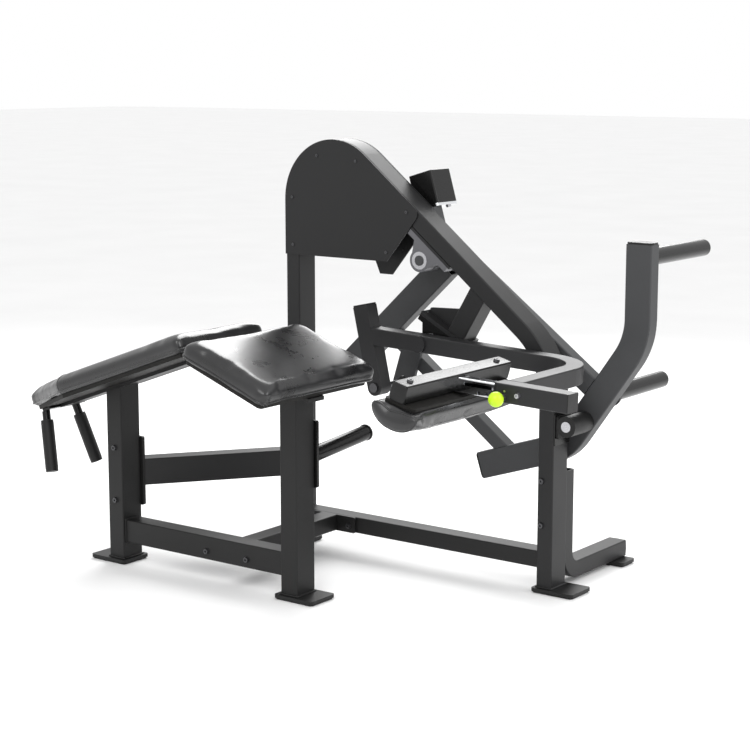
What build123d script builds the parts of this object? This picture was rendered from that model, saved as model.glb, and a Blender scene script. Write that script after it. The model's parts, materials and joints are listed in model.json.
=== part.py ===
"""Plate-loaded lying leg curl machine, in millimetres.

The origin is on the floor, midway along and across the machine. +X runs from the head
end to the foot end, +Y from the user's side to the weight side, and +Z is up.
"""
from build123d import *
import os
from math import atan2, cos, degrees, hypot, radians, sin, tan

os.makedirs("parts", exist_ok=True)

# ------------------------------------------------------------------ driving dimensions
WALL = 3.0                  # steel tube wall
CORNER = 4.0                # outside corner radius of the steel tube
FIT = 0.05                  # radial running clearance of a shaft in its bearing
BENCH_Y = -333.0            # centreline of the bench and of the roller arm's front tube
HOOP_Y = 156.0              # centreline of the hoop frame
FAR_ARM_Y = 81.0            # centreline of the roller arm's pivot side
TRUSS_Y = 235.5             # centreline of the swinging weight arm

# Posts and floor plates
HEAD_POST_X = -625.0
KNEE_POST_X = 48.0
POST_X, POST_Y = 60.0, 80.0
PAD_T, PLATE_T = 4.0, 10.0
FLOOR_T = PAD_T + PLATE_T

# Hoop: one bent tube, up from the floor, over the top, down the slope and to the floor
HOOP_X, HOOP_W = 50.0, 80.0
HOOP_REAR_X, HOOP_FOOT_X = -328.0, 585.0
HOOP_TOP_CORNER_Z, HOOP_LOW_CORNER_Z = 1417.0, 678.0
HOOP_TOP_R, HOOP_LOW_R = 159.0, 242.0

# Pads
PAD_TOTAL = 65.0            # cushion and backing board together
CUSHION_T = 53.0
TORSO_TILT, THIGH_TILT = 19.5, 20.4
TORSO_EDGE = (-235.0, 750.0)
THIGH_EDGE = (-145.0, 750.0)
TORSO_LEN, TORSO_FOLD, TORSO_HALF, NOSE_HALF = 742.6, 517.0, 185.0, 90.0
THIGH_LEN, THIGH_HALF = 313.0, 250.0
RAIL_T = 10.0

# Pivots: point in the XZ plane
KNEE_PIVOT = (188.0, 690.0)
WEIGHT_PIVOT = (147.0, 925.0)
SHAFT_R = 15.0
BLOCK_H = 50.0              # pillow block, from its seat to the shaft axis
BLOCK_T = 36.0
KNEE_SEAT_TILT = 28.5       # slope of the knee bearing's seat

# Roller arm
ARM_TILT = 2.4
ARM_TUBE = 50.0
CROSS_X = 560.0             # along the arm, from the knee pivot to the cross part
ARM_BEND_R = 125.0
FRONT_START, FRONT_END = 535.0, 743.0
LEVER_TOP, LEVER_PIN = (-26.0, 783.0), (28.0, 545.0)
PIN_R, ROLLER_R = 8.0, 15.0
SLOT_GAP = 0.6
ARM_RATIO = 0.4735          # turn of the weight arm for each turn of the roller arm

# Roller pad carriage
SLIDE = 40.0
CARRIAGE_TILT = 15.0
BRACKET_L, BRACKET_W, BRACKET_H = 479.0, 47.0, 50.0
BRACKET_CENTRE = (571.5, 680.4)
ROLLER_HALF, ROLLER_PAD_R = 269.0, 70.0
PIN_X, PIN_Z = 553.0, -12.0  # pull pin, along and across the roller arm

# Weight arm
ARM_W, ARM_D = 80.0, 45.0
ARM_PATH = [(303.0, 318.0), (586.0, 410.0), (812.0, 732.0), (812.0, 1003.0)]
ARM_RADII = [150.0, 200.0]
HUB_R = 38.0
HORN_R = 24.5
HORNS = [(812.0, 964.0, 344.0), (706.0, 570.0, 310.0)]
BUMPER = (653.0, 492.0)
BUMPER_R = 30.0

HOOP_NEAR, HOOP_FAR = HOOP_Y - HOOP_W / 2, HOOP_Y + HOOP_W / 2
TRUSS_NEAR, TRUSS_FAR = TRUSS_Y - ARM_D / 2, TRUSS_Y + ARM_D / 2
BENCH_NEAR, BENCH_FAR = BENCH_Y - POST_Y / 2, BENCH_Y + POST_Y / 2

HOOP_SLOPE = degrees(
    atan2(HOOP_TOP_CORNER_Z - HOOP_LOW_CORNER_Z, HOOP_FOOT_X - HOOP_REAR_X)
)


# ------------------------------------------------------------------ helpers
def box_section(across, along, wall=WALL):
    """Rounded square tube section in the current sketch."""
    RectangleRounded(across, along, CORNER)
    inner = (across - 2 * wall, along - 2 * wall)
    RectangleRounded(*inner, CORNER - wall, mode=Mode.SUBTRACT)


def xz_plane(point, y):
    """Plane across the machine at a point of the XZ plane, facing +Y."""
    return Plane(origin=(point[0], y, point[1]), x_dir=(1, 0, 0), z_dir=(0, 1, 0))


def up_vector(tilt):
    """Unit vector in XZ that leans from +Z towards +X by tilt degrees."""
    return (sin(radians(tilt)), 0, cos(radians(tilt)))


def down_slope(tilt):
    """Unit vector in XZ that runs to +X and falls by tilt degrees."""
    return (cos(radians(tilt)), 0, -sin(radians(tilt)))


def tube_run(points, y, across_y, in_plane, radii=None):
    """Square tube along a path of XZ points at one Y, in the current part."""
    path_points = [(x, y, z) for x, z in points]
    with BuildLine() as path:
        if radii:
            FilletPolyline(*path_points, radius=radii)
        else:
            Line(*path_points)
    with BuildSketch(Plane(path.line @ 0, x_dir=(0, 1, 0), z_dir=path.line % 0)) as profile:
        box_section(across_y, in_plane)
    sweep(profile.sketch, path=path.wires()[0])


def cut_side(origin, normal):
    """Keep the side of the part that lies against the normal."""
    split(bisect_by=Plane(origin=origin, z_dir=normal), keep=Keep.BOTTOM)


def drill(origin, direction, length, radius):
    """Round hole from a point along a direction."""
    with BuildSketch(Plane(origin=origin, z_dir=direction)) as profile:
        Circle(radius)
    extrude(profile.sketch, amount=length, mode=Mode.SUBTRACT)


def rod(origin, direction, length, radius):
    """Round bar from a point along a direction."""
    with BuildSketch(Plane(origin=origin, z_dir=direction)) as profile:
        Circle(radius)
    extrude(profile.sketch, amount=length)


def socket_bolt(origin, outward, shank, head_r=9.0, head_h=6.0, shank_r=4.8):
    """Button-head socket bolt: the head stands outward and the shank goes inward."""
    seat = Plane(origin=origin, z_dir=outward)
    with BuildSketch(seat) as head:
        Circle(head_r)
    extrude(head.sketch, amount=head_h, taper=14)
    with BuildSketch(seat.offset(head_h)) as socket:
        RegularPolygon(head_r * 0.4, 6)
    extrude(socket.sketch, amount=-head_h * 0.6, mode=Mode.SUBTRACT)
    with BuildSketch(seat) as stem:
        Circle(shank_r)
    extrude(stem.sketch, amount=-shank)


def finish(builder, name):
    """Label a finished part and write it."""
    builder.part.label = name
    export_step(builder.part, f"parts/{name}.step")


def torso_z(x, depth):
    """Height of the torso pad's layer at a depth below its top."""
    tilt = radians(TORSO_TILT)
    return TORSO_EDGE[1] + tan(tilt) * (x - TORSO_EDGE[0]) - depth / cos(tilt)


def thigh_z(x, depth):
    """Height of the thigh pad's layer at a depth below its top."""
    tilt = radians(THIGH_TILT)
    return THIGH_EDGE[1] - tan(tilt) * (x - THIGH_EDGE[0]) - depth / cos(tilt)


def ridge(depth):
    """Point where the torso and thigh layers of one depth meet."""
    low, high = -400.0, 100.0
    for _ in range(50):
        x = (low + high) / 2
        if torso_z(x, depth) < thigh_z(x, depth):
            low = x
        else:
            high = x
    return (low, torso_z(low, depth))


torso_up = (-sin(radians(TORSO_TILT)), 0, cos(radians(TORSO_TILT)))
thigh_up = up_vector(THIGH_TILT)
bench_nose = Plane(
    origin=(TORSO_EDGE[0], BENCH_Y, TORSO_EDGE[1]),
    x_dir=(-cos(radians(TORSO_TILT)), 0, -sin(radians(TORSO_TILT))),
    z_dir=torso_up,
)
bench_knee = Plane(
    origin=(THIGH_EDGE[0], BENCH_Y, THIGH_EDGE[1]),
    x_dir=down_slope(THIGH_TILT),
    z_dir=thigh_up,
)
arm_plane = Plane(
    origin=(KNEE_PIVOT[0], 0, KNEE_PIVOT[1]),
    x_dir=down_slope(ARM_TILT),
    z_dir=up_vector(ARM_TILT),
)
carriage_plane = Plane(
    origin=(BRACKET_CENTRE[0], BENCH_Y, BRACKET_CENTRE[1]),
    x_dir=down_slope(CARRIAGE_TILT),
    z_dir=up_vector(CARRIAGE_TILT),
)


def on_plane(plane, x, y, z):
    """World point of local coordinates on a plane."""
    return plane.from_local_coords(Vector(x, y, z))


# ------------------------------------------------------------------ posts and base frame
bolt_heights = (354.0, 193.0)
base_bolt_x = (-270.0, -117.0)
BASE_X = -193.0
BENCH_TUBE_Z, BENCH_TUBE_H = 99.0, 70.0
LONG_TUBE_Z, LONG_TUBE_H = 93.0, 50.0
REAR_BOLTS = (326.0, 197.0)
REAR_LEG_X, REAR_LEG_TOP, REAR_LEG_END = 574.0, 343.0, 563.0
REAR_LEG_D = 50.0

with BuildPart() as head_post:
    with BuildSketch(Plane.XY.offset(FLOOR_T)):
        with Locations((HEAD_POST_X, BENCH_Y)):
            box_section(POST_X, POST_Y)
    extrude(amount=700)
    cut_side((HEAD_POST_X, BENCH_Y, torso_z(HEAD_POST_X, PAD_TOTAL + RAIL_T)), torso_up)
    for height in bolt_heights:
        drill((HEAD_POST_X, BENCH_NEAR - 1, height), (0, 1, 0), POST_Y + 2, 5.0)
finish(head_post, "head_post")

with BuildPart() as knee_post:
    with BuildSketch(Plane.XY.offset(FLOOR_T)):
        with Locations((KNEE_POST_X, BENCH_Y)):
            box_section(POST_X, POST_Y)
    extrude(amount=700)
    cut_side((KNEE_POST_X, BENCH_Y, thigh_z(KNEE_POST_X, PAD_TOTAL + RAIL_T)), thigh_up)
finish(knee_post, "knee_post")

with BuildPart() as bench_base_tube:
    start_x = HEAD_POST_X + POST_X / 2
    with BuildSketch(Plane.YZ.offset(start_x)):
        with Locations((BENCH_Y, BENCH_TUBE_Z)):
            box_section(60, BENCH_TUBE_H)
    extrude(amount=KNEE_POST_X - POST_X / 2 - start_x)
    for x in base_bolt_x:
        drill((x, BENCH_Y - 31, BENCH_TUBE_Z - 10), (0, 1, 0), 62, 5.0)
finish(bench_base_tube, "bench_base_tube")

with BuildPart() as base_cross_tube:
    start_y = BENCH_Y + 30 + 8
    with BuildSketch(Plane.XZ.offset(-start_y)):
        with Locations((BASE_X, LONG_TUBE_Z)):
            box_section(60, LONG_TUBE_H)
    extrude(amount=-(HOOP_Y - 30 - 8 - start_y))
finish(base_cross_tube, "base_cross_tube")

with BuildPart() as long_base_tube:
    start_x = HOOP_REAR_X + HOOP_X / 2
    with BuildSketch(Plane.YZ.offset(start_x)):
        with Locations((HOOP_Y, LONG_TUBE_Z)):
            box_section(60, LONG_TUBE_H)
    extrude(amount=HOOP_FOOT_X - HOOP_X / 2 - start_x)
    for x in base_bolt_x:
        drill((x, HOOP_Y - 31, BENCH_TUBE_Z - 10), (0, 1, 0), 62, 5.0)
finish(long_base_tube, "long_base_tube")

CROSS_Z = 268.0
cross_start = Vector(HEAD_POST_X, BENCH_FAR + 10, CROSS_Z)
cross_end = Vector(HOOP_REAR_X, HOOP_NEAR, CROSS_Z)
with BuildPart() as upper_cross_tube:
    run = (cross_end - cross_start).normalized()
    with BuildSketch(Plane(origin=cross_start - run * 60, x_dir=(0, 0, 1), z_dir=run)):
        box_section(82, 60)
    extrude(amount=(cross_end - cross_start).length + 120)
    cut_side((0, cross_end.Y, 0), (0, 1, 0))
    cut_side((0, cross_start.Y, 0), (0, -1, 0))
finish(upper_cross_tube, "upper_cross_tube")

hoop_points = [
    (HOOP_REAR_X, FLOOR_T),
    (HOOP_REAR_X, HOOP_TOP_CORNER_Z),
    (HOOP_FOOT_X, HOOP_LOW_CORNER_Z),
    (HOOP_FOOT_X, FLOOR_T),
]
with BuildPart() as main_hoop:
    tube_run(hoop_points, HOOP_Y, HOOP_W, HOOP_X, [HOOP_TOP_R, HOOP_LOW_R])
    for height in REAR_BOLTS:
        drill((REAR_LEG_X, HOOP_NEAR - 1, height), (0, 1, 0), HOOP_W + 2, 5.0)
finish(main_hoop, "main_hoop")

with BuildPart() as rear_leg:
    leg_y = HOOP_FAR + REAR_LEG_D / 2
    foot_z = FLOOR_T + REAR_LEG_D / 2
    with BuildLine() as leg_path:
        FilletPolyline(
            (REAR_LEG_X, leg_y, REAR_LEG_TOP),
            (REAR_LEG_X, leg_y, foot_z),
            (REAR_LEG_X, REAR_LEG_END, foot_z),
            radius=60,
        )
    with BuildSketch(Plane(leg_path.line @ 0, x_dir=(1, 0, 0), z_dir=leg_path.line % 0)):
        box_section(60, REAR_LEG_D)
    sweep(path=leg_path.wires()[0])
    for height in REAR_BOLTS:
        drill((REAR_LEG_X, HOOP_FAR - 1, height), (0, 1, 0), REAR_LEG_D + 2, 5.0)
finish(rear_leg, "rear_leg")

# Floor plates: centre x, centre y, size x, size y
floor_plates = [
    (-652.0, BENCH_Y, 140.0, 108.0),
    (71.0, BENCH_Y, 138.0, 108.0),
    (618.0, HOOP_Y, 138.0, 108.0),
    (HOOP_REAR_X - 20.0, HOOP_Y, 120.0, 108.0),
    (584.0, REAR_LEG_END - 42.0, 110.0, 76.0),
]
with BuildPart() as foot_plates:
    for x, y, size_x, size_y in floor_plates:
        with BuildSketch(Plane.XY.offset(PAD_T)):
            with Locations((x, y)):
                RectangleRounded(size_x, size_y, 10)
        extrude(amount=PLATE_T)
finish(foot_plates, "foot_plates")

with BuildPart() as floor_pads:
    for x, y, size_x, size_y in floor_plates:
        with BuildSketch():
            with Locations((x, y)):
                RectangleRounded(size_x - 8, size_y - 8, 8)
        extrude(amount=PAD_T)
finish(floor_pads, "floor_pads")

with BuildPart() as joint_flanges:
    for y in (BENCH_Y + 30, HOOP_Y - 30 - 8):
        with BuildSketch(Plane.XZ.offset(-y)):
            with Locations((BASE_X, LONG_TUBE_Z)):
                RectangleRounded(200, LONG_TUBE_H, 6)
            with Locations(*[(x, BENCH_TUBE_Z - 10) for x in base_bolt_x]):
                Circle(5.0, mode=Mode.SUBTRACT)
        extrude(amount=-8)
    with BuildSketch(Plane.XZ.offset(-BENCH_FAR)):
        with Locations((HEAD_POST_X, 273)):
            RectangleRounded(78, 212, 6)
        with Locations(*[(HEAD_POST_X, height) for height in bolt_heights]):
            Circle(5.0, mode=Mode.SUBTRACT)
    extrude(amount=-10)
finish(joint_flanges, "joint_flanges")

with BuildPart() as frame_bolts:
    for height in bolt_heights:
        socket_bolt((HEAD_POST_X, BENCH_NEAR, height), (0, -1, 0), POST_Y + 9)
    for x in base_bolt_x:
        socket_bolt((x, BENCH_Y - 30, BENCH_TUBE_Z - 10), (0, -1, 0), 67)
        socket_bolt((x, HOOP_Y - 38, BENCH_TUBE_Z - 10), (0, -1, 0), 67)
    for height in REAR_BOLTS:
        shank = HOOP_W + REAR_LEG_D - 1
        socket_bolt((REAR_LEG_X, HOOP_NEAR, height), (0, -1, 0), shank)
finish(frame_bolts, "frame_bolts")

# ------------------------------------------------------------------ hoop covers
COVER_T = 4.0
COVER_FLOOR = 915.0
slope = radians(HOOP_SLOPE)
top_half = (180 - 90 - HOOP_SLOPE) / 2
bend_centre = (
    HOOP_REAR_X + HOOP_TOP_R,
    HOOP_TOP_CORNER_Z - HOOP_TOP_R / tan(radians(top_half)),
)
bend_outer = HOOP_TOP_R + HOOP_X / 2
slope_start = (
    bend_centre[0] + bend_outer * sin(slope),
    bend_centre[1] + bend_outer * cos(slope),
)
COVER_EDGE = 262.0          # length of the cover along the slope, past the bend
cover_corner = (
    slope_start[0] + COVER_EDGE * cos(slope),
    slope_start[1] - COVER_EDGE * sin(slope),
)
edge_run = (cover_corner[1] - COVER_FLOOR) / cos(slope)
cover_foot = (cover_corner[0] - edge_run * sin(slope), COVER_FLOOR)
cover_left = bend_centre[0] - bend_outer
screw_points = [
    (cover_left + 30, 945.0),
    (cover_left + 28, 1090.0),
    (bend_centre[0] - 60, 1218.0),
    (bend_centre[0] + 86, 1206.0),
    (cover_corner[0] - 48, cover_corner[1] + 2),
    (cover_foot[0] - 2, COVER_FLOOR + 27),
]


def cover_outline(tab):
    """Round-topped cover outline, with a tab below its foot-side corner if asked."""
    turn = radians(45)
    arc_mid = (bend_centre[0] - bend_outer * cos(turn), bend_centre[1] + bend_outer * sin(turn))
    with BuildLine() as outline:
        Line((cover_left, COVER_FLOOR), (cover_left, bend_centre[1]))
        ThreePointArc((cover_left, bend_centre[1]), arc_mid, slope_start)
        if tab:
            low = (cover_foot[0] - 62, COVER_FLOOR - 49)
            Polyline(
                slope_start,
                cover_corner,
                (cover_foot[0] - 40, low[1]),
                (low[0] - 24, low[1]),
                (low[0] - 46, COVER_FLOOR),
                (cover_left, COVER_FLOOR),
            )
        else:
            Polyline(slope_start, cover_corner, cover_foot, (cover_left, COVER_FLOOR))
    make_face(outline.edges())


def cover(near_y, tab):
    """Sheet cover with its screw holes, in the current part."""
    with BuildSketch(Plane.XZ.offset(-near_y)) as profile:
        cover_outline(tab)
        with Locations(*screw_points):
            Circle(3.0, mode=Mode.SUBTRACT)
    extrude(profile.sketch, amount=-COVER_T)
    corner_point = (cover_corner[0], near_y, cover_corner[1])
    fillet(edges().filter_by(Axis.Y).sort_by_distance(corner_point)[0], 24)


with BuildPart() as hoop_covers:
    cover(HOOP_NEAR - COVER_T, False)
    cover(HOOP_FAR, True)
finish(hoop_covers, "hoop_covers")

with BuildPart() as cover_screws:
    for x, z in screw_points:
        socket_bolt((x, HOOP_NEAR - COVER_T, z), (0, -1, 0), COVER_T, 5.0, 2.5, 2.8)
        socket_bolt((x, HOOP_FAR + COVER_T, z), (0, 1, 0), COVER_T, 5.0, 2.5, 2.8)
finish(cover_screws, "cover_screws")

# ------------------------------------------------------------------ pivot bearings
SEAT_T = 8.0
BLOCK_L = 170.0
slope_up = up_vector(HOOP_SLOPE)
slope_run = down_slope(HOOP_SLOPE)
knee_up = up_vector(KNEE_SEAT_TILT)
knee_run = down_slope(KNEE_SEAT_TILT)


def pivot_frame(pivot, up, y):
    """Plane facing +Y at a pivot, with its local y towards the bearing's seat."""
    run_dir = (up[2], 0, -up[0])
    return Plane(origin=(pivot[0], y, pivot[1]), x_dir=run_dir, z_dir=(0, 1, 0))


def seat_sign(plane, up):
    """+1 if the plane's local y points towards the seat, else -1."""
    return 1 if plane.y_dir.dot(Vector(*up)) > 0 else -1


def pillow_block(pivot, up, y, length):
    """Pillow block hanging from its seat, with a bored hub, in the current part."""
    plane = pivot_frame(pivot, up, y)
    side = seat_sign(plane, up)
    with BuildSketch(plane) as profile:
        with Locations((0, side * (BLOCK_H - 8))):
            Rectangle(length, 16)
        with BuildLine():
            Polyline(
                (-34, 0),
                (-52, side * (BLOCK_H - 16)),
                (52, side * (BLOCK_H - 16)),
                (34, 0),
                close=True,
            )
        make_face()
        Circle(34)
        Circle(26.0, mode=Mode.SUBTRACT)
    extrude(profile.sketch, amount=BLOCK_T)


def seat_bolts(pivot, up, y, spacing, through):
    """Two bolts up through a pillow block's foot, in the current part."""
    for side in (-1, 1):
        run_dir = Vector(up[2], 0, -up[0])
        base = Vector(pivot[0], y + BLOCK_T / 2, pivot[1])
        foot = base + run_dir * (side * spacing / 2) + Vector(*up) * (BLOCK_H - 16)
        socket_bolt(foot, Vector(*up) * -1, through, 8.0, 6.0, 5.0)


def bolt_holes(pivot, up, y, spacing, start, length):
    """Two clearance holes for the seat bolts, in the current part."""
    for side in (-1, 1):
        run_dir = Vector(up[2], 0, -up[0])
        base = Vector(pivot[0], y + BLOCK_T / 2, pivot[1])
        hole = base + run_dir * (side * spacing / 2) + Vector(*up) * start
        drill(hole, Vector(*up), length, 5.2)


block_y = (HOOP_NEAR, HOOP_FAR - BLOCK_T)
WEIGHT_SPACING, KNEE_SPACING = 138.0, 121.0
KNEE_BLOCK_L = 142.0
with BuildPart() as weight_blocks:
    for y in block_y:
        pillow_block(WEIGHT_PIVOT, slope_up, y, BLOCK_L)
        bolt_holes(WEIGHT_PIVOT, slope_up, y, WEIGHT_SPACING, BLOCK_H - 17, 18)
finish(weight_blocks, "weight_blocks")

with BuildPart() as knee_blocks:
    for y in block_y:
        pillow_block(KNEE_PIVOT, knee_up, y, KNEE_BLOCK_L)
        bolt_holes(KNEE_PIVOT, knee_up, y, KNEE_SPACING, BLOCK_H - 17, 18)
finish(knee_blocks, "knee_blocks")


def bearing_rings(pivot):
    """Bearing inserts of both blocks of a pivot, in the current part."""
    for y in block_y:
        with BuildSketch(xz_plane(pivot, y - 1)) as profile:
            Circle(26.0)
            Circle(SHAFT_R + FIT, mode=Mode.SUBTRACT)
        extrude(profile.sketch, amount=BLOCK_T + 1)


with BuildPart() as bearing_inserts:
    bearing_rings(WEIGHT_PIVOT)
    bearing_rings(KNEE_PIVOT)
finish(bearing_inserts, "bearing_inserts")

# The inclined leg's lower face, as a distance from the weight pivot along its normal
slope_point = Vector(HOOP_FOOT_X, HOOP_Y, HOOP_LOW_CORNER_Z) - Vector(*slope_up) * (HOOP_X / 2)
weight_origin = Vector(WEIGHT_PIVOT[0], HOOP_Y, WEIGHT_PIVOT[1])
knee_origin = Vector(KNEE_PIVOT[0], HOOP_Y, KNEE_PIVOT[1])
face_distance = (slope_point - weight_origin).dot(Vector(*slope_up))
KNEE_SEAT_T = 12.0

with BuildPart() as pivot_seats:
    slope_seat = Plane(
        origin=weight_origin + Vector(*slope_up) * BLOCK_H, x_dir=slope_run, z_dir=slope_up
    )
    with BuildSketch(slope_seat):
        Rectangle(184, HOOP_W)
    extrude(amount=face_distance - BLOCK_H)
    knee_top = Plane(
        origin=knee_origin + Vector(*knee_up) * BLOCK_H, x_dir=knee_run, z_dir=knee_up
    )
    with BuildSketch(knee_top):
        with Locations((14, 0)):
            Rectangle(168, HOOP_W)
    extrude(amount=KNEE_SEAT_T)
    for y in block_y:
        bolt_holes(WEIGHT_PIVOT, slope_up, y, WEIGHT_SPACING, BLOCK_H - 1, 14)
        bolt_holes(KNEE_PIVOT, knee_up, y, KNEE_SPACING, BLOCK_H - 1, 14)
finish(pivot_seats, "pivot_seats")

STRUT_TOP, STRUT_FOOT = (385.0, 908.0), (262.0, 699.0)
with BuildPart() as pivot_strut:
    tube_run([STRUT_FOOT, STRUT_TOP], HOOP_Y, HOOP_W - 10, 60)
    cut_side(slope_point, slope_up)
    seat_top = knee_origin + Vector(*knee_up) * (BLOCK_H + KNEE_SEAT_T)
    cut_side(seat_top, Vector(*knee_up) * -1)
    gusset_plane = pivot_frame(KNEE_PIVOT, knee_up, HOOP_Y - 5)
    side = seat_sign(gusset_plane, knee_up)
    seat_line = side * (BLOCK_H + KNEE_SEAT_T)
    with BuildSketch(gusset_plane):
        with BuildLine():
            Polyline(
                (-66, seat_line),
                (-66, side * 72),
                (33.6, side * 132),
                (30.7, seat_line),
                close=True,
            )
        make_face()
    extrude(amount=10)
finish(pivot_strut, "pivot_strut")

with BuildPart() as bearing_bolts:
    for y in block_y:
        seat_bolts(WEIGHT_PIVOT, slope_up, y, WEIGHT_SPACING, 16 + face_distance - BLOCK_H)
        seat_bolts(KNEE_PIVOT, knee_up, y, KNEE_SPACING, 16 + KNEE_SEAT_T)
finish(bearing_bolts, "bearing_bolts")

# ------------------------------------------------------------------ weight arm rest
STOP_Z, STOP_H, STOP_T = 478.0, 92.0, 5.0
stop_face = HOOP_FOOT_X + HOOP_X / 2
with BuildPart() as stop_plate:
    with BuildSketch(Plane.YZ.offset(stop_face)):
        with Locations((HOOP_Y, STOP_Z)):
            RectangleRounded(HOOP_W, STOP_H, 6)
    extrude(amount=STOP_T)
finish(stop_plate, "stop_plate")

with BuildPart() as stop_pad:
    with BuildSketch(Plane.YZ.offset(stop_face + STOP_T)):
        with Locations((HOOP_Y, STOP_Z + 6)):
            RectangleRounded(HOOP_W - 8, STOP_H - 26, 8)
    extrude(amount=BUMPER[0] - BUMPER_R - 0.3 - stop_face - STOP_T)
finish(stop_pad, "stop_pad")

# ------------------------------------------------------------------ bench
rail_ends = (-857.0, 118.0)
with BuildPart() as bench_rail:
    upper, lower = PAD_TOTAL, PAD_TOTAL + RAIL_T
    with BuildSketch(Plane.XZ.offset(-(BENCH_Y - 35))):
        with BuildLine():
            Polyline(
                (rail_ends[0], torso_z(rail_ends[0], upper)),
                ridge(upper),
                (rail_ends[1], thigh_z(rail_ends[1], upper)),
                (rail_ends[1], thigh_z(rail_ends[1], lower)),
                ridge(lower),
                (rail_ends[0], torso_z(rail_ends[0], lower)),
                close=True,
            )
        make_face()
    extrude(amount=-70)
finish(bench_rail, "bench_rail")


def torso_outline(inset):
    """Chest pad outline: straight sides, then a nose that narrows towards the head."""
    half, nose = TORSO_HALF - inset, NOSE_HALF - inset * 0.7
    with BuildLine() as outline:
        Polyline(
            (inset, -half),
            (TORSO_FOLD, -half),
            (TORSO_LEN - inset, -nose),
            (TORSO_LEN - inset, nose),
            (TORSO_FOLD, half),
            (inset, half),
            close=True,
        )
    make_face(outline.edges())


with BuildPart() as bench_boards:
    with BuildSketch(bench_nose.offset(-PAD_TOTAL)):
        torso_outline(14.0)
    extrude(amount=PAD_TOTAL - CUSHION_T)
    with BuildSketch(bench_knee.offset(-PAD_TOTAL)):
        with Locations((THIGH_LEN / 2, 0)):
            RectangleRounded(THIGH_LEN - 28, 2 * THIGH_HALF - 28, 12)
    extrude(amount=PAD_TOTAL - CUSHION_T)
finish(bench_boards, "bench_boards")

with BuildPart() as torso_pad:
    with BuildSketch(bench_nose.offset(-CUSHION_T)):
        torso_outline(0.0)
        fillet(vertices(), 16)
    extrude(amount=CUSHION_T)
finish(torso_pad, "torso_pad")

with BuildPart() as thigh_pad:
    with BuildSketch(bench_knee.offset(-CUSHION_T)):
        with Locations((THIGH_LEN / 2, 0)):
            RectangleRounded(THIGH_LEN, 2 * THIGH_HALF, 26)
    extrude(amount=CUSHION_T)
finish(thigh_pad, "thigh_pad")

grip_points = []
for side in (-1, 1):
    top = Vector(-893.0, BENCH_Y + side * 62, 446.0)
    end = Vector(-838.0, BENCH_Y + side * 95, 262.0)
    grip_points.append((top, end))
GRIP_R, SLEEVE_R = 12.5, 19.0
PLATE_DEPTH = PAD_TOTAL + 8
plate_under = bench_nose.offset(-PLATE_DEPTH).origin

with BuildPart() as grip_bars:
    for top, end in grip_points:
        run = (end - top).normalized()
        rod(top - run * 30, run, (end - top).length + 26, GRIP_R)
    cut_side(plate_under, torso_up)
    with BuildSketch(bench_nose.offset(-PLATE_DEPTH)):
        with Locations((707, 0)):
            RectangleRounded(40, 150, 6)
    extrude(amount=PLATE_DEPTH - PAD_TOTAL)
finish(grip_bars, "grip_bars")

with BuildPart() as grip_sleeves:
    for top, end in grip_points:
        run = (end - top).normalized()
        rod(top + run * 36, run, (end - top).length - 36, SLEEVE_R)
        drill(top + run * 36, run, (end - top).length - 40, GRIP_R)
finish(grip_sleeves, "grip_sleeves")

STORE_Z, STORE_R, STORE_L, STORE_TILT = 398.0, 22.5, 268.0, 5.5
store_dir = Vector(0, cos(radians(STORE_TILT)), sin(radians(STORE_TILT)))
store_base = Vector(KNEE_POST_X, BENCH_FAR + 10, STORE_Z)
with BuildPart() as storage_horn:
    rod(store_base - store_dir * 10, store_dir, STORE_L + 10, STORE_R)
    cut_side(store_base, (0, -1, 0))
    with BuildSketch(Plane.XZ.offset(-BENCH_FAR)):
        with Locations((KNEE_POST_X, 411)):
            RectangleRounded(78, 193, 6)
    extrude(amount=-10)
finish(storage_horn, "storage_horn")

with BuildPart() as storage_cap:
    cap_base = store_base + store_dir * STORE_L
    rod(cap_base, store_dir, 8, STORE_R + 2)
    fillet(faces().sort_by(Axis.Y)[-1].edges(), 4)
finish(storage_cap, "storage_cap")

# ------------------------------------------------------------------ roller arm
arm_x = Vector(*down_slope(ARM_TILT))
half_tube = ARM_TUBE / 2
far_near_face = FAR_ARM_Y - half_tube
lever_run = Vector(LEVER_PIN[0] - LEVER_TOP[0], 0, LEVER_PIN[1] - LEVER_TOP[1]).normalized()
lever_right = Vector(-lever_run.Z, 0, lever_run.X)
lever_top_point = Vector(LEVER_TOP[0], FAR_ARM_Y, LEVER_TOP[1])
lever_pin_point = Vector(LEVER_PIN[0], FAR_ARM_Y, LEVER_PIN[1])

with BuildPart() as yoke_tube:
    yoke_points = [
        on_plane(arm_plane, -210, FAR_ARM_Y, 0),
        on_plane(arm_plane, CROSS_X, FAR_ARM_Y, 0),
        on_plane(arm_plane, CROSS_X, BENCH_Y + half_tube, 0),
    ]
    with BuildLine() as yoke_path:
        FilletPolyline(*yoke_points, radius=ARM_BEND_R)
    yoke_start = yoke_path.line @ 0
    with BuildSketch(Plane(yoke_start, x_dir=(0, 1, 0), z_dir=yoke_path.line % 0)):
        box_section(ARM_TUBE, ARM_TUBE)
    sweep(path=yoke_path.wires()[0])
    cut_side(lever_top_point + lever_right * half_tube, lever_right * -1)
    drill((KNEE_PIVOT[0], far_near_face - 1, KNEE_PIVOT[1]), (0, 1, 0), ARM_TUBE + 2, SHAFT_R)
finish(yoke_tube, "yoke_tube")

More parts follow.
